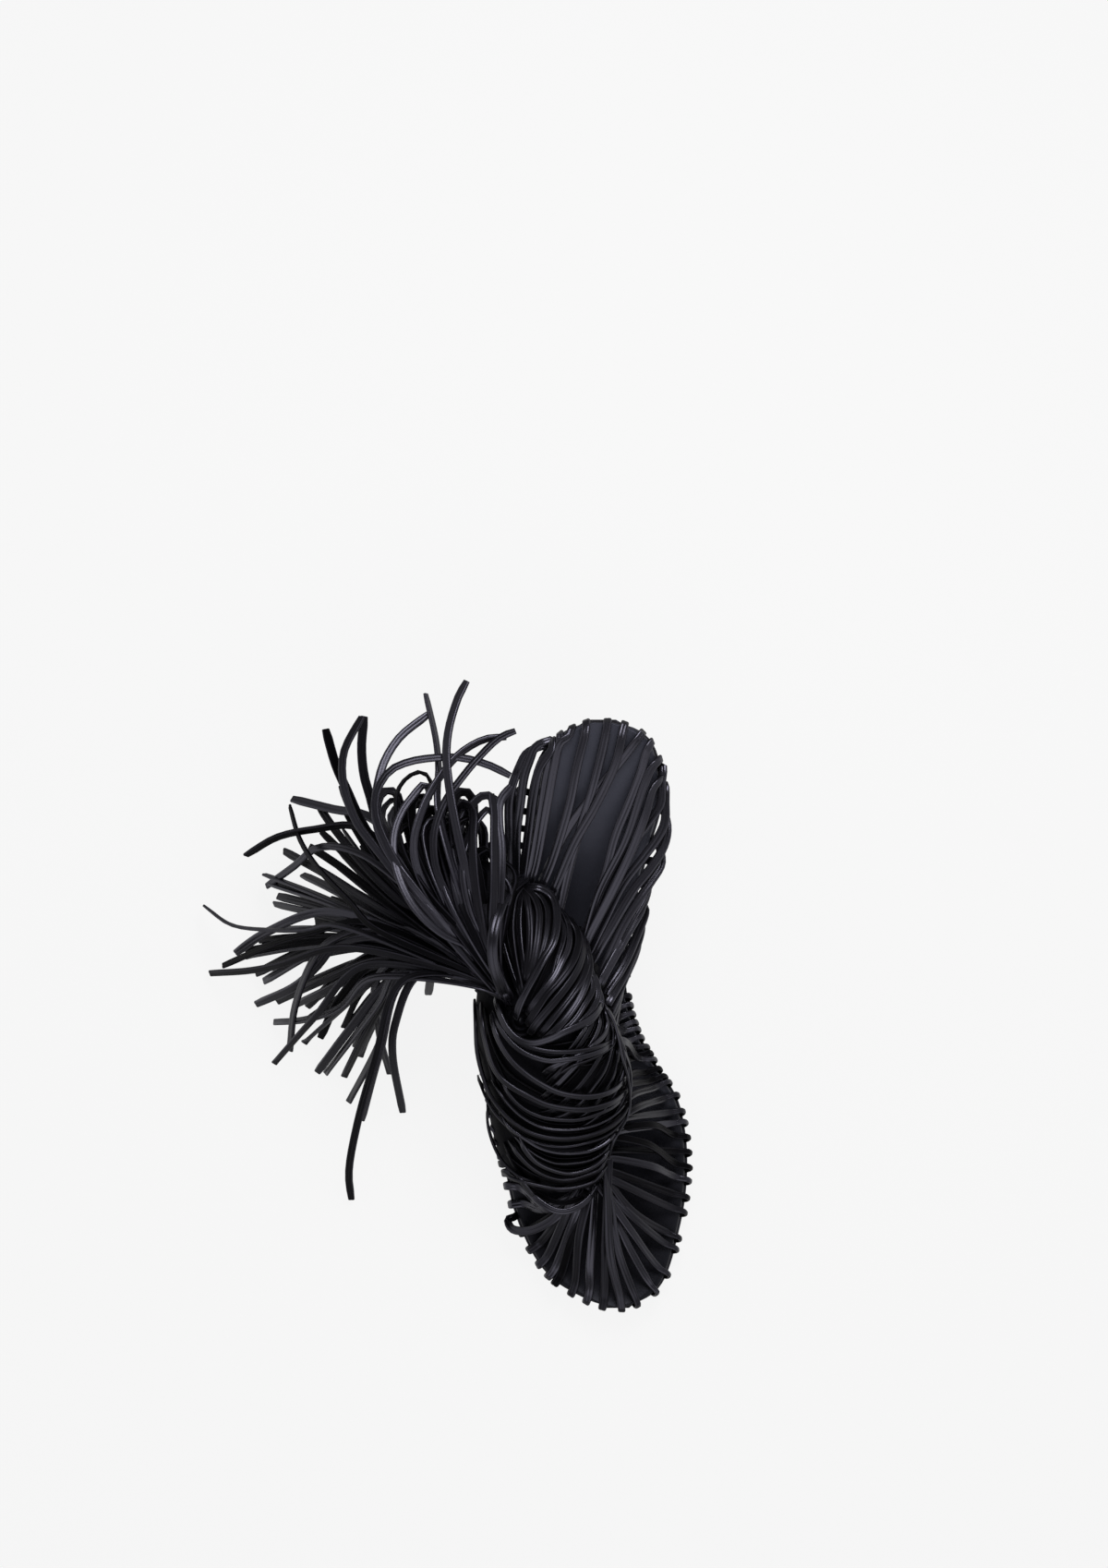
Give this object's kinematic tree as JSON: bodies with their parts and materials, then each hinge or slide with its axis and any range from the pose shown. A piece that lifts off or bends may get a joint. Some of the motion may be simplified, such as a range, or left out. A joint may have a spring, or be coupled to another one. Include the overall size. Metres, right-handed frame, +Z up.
{
  "type": "high-heeled mule sandal",
  "caption": "Right-foot high-heeled mule sandal in black leather: narrow strips rise all round the sole, gather in a coiled knot over the foot and end in a long fringe.",
  "frame": {"origin": "on the floor under the ball of the foot, in the flat tread of the outsole", "axes": "+Z up, +Y towards the heel along the shoe, +X towards the inner side of the foot"},
  "size_m": [0.1913, 0.2457, 0.1001],
  "materials": {
    "sole_leather": "smooth black sole leather",
    "footbed_leather": "satin black padded footbed leather",
    "heel_cover": "black leather wrapped round the heel",
    "top_piece_rubber": "matt black rubber",
    "strip_leather": "soft black folded leather strip",
    "fringe_leather": "soft black folded leather strip, cut ends"
  },
  "bodies": {
    "root": {"outsole": "sole_leather", "insole": "footbed_leather", "heel": "heel_cover", "heel_top_piece": "top_piece_rubber", "upper": "strip_leather", "fringe": "fringe_leather"}
  },
  "joints": []
}
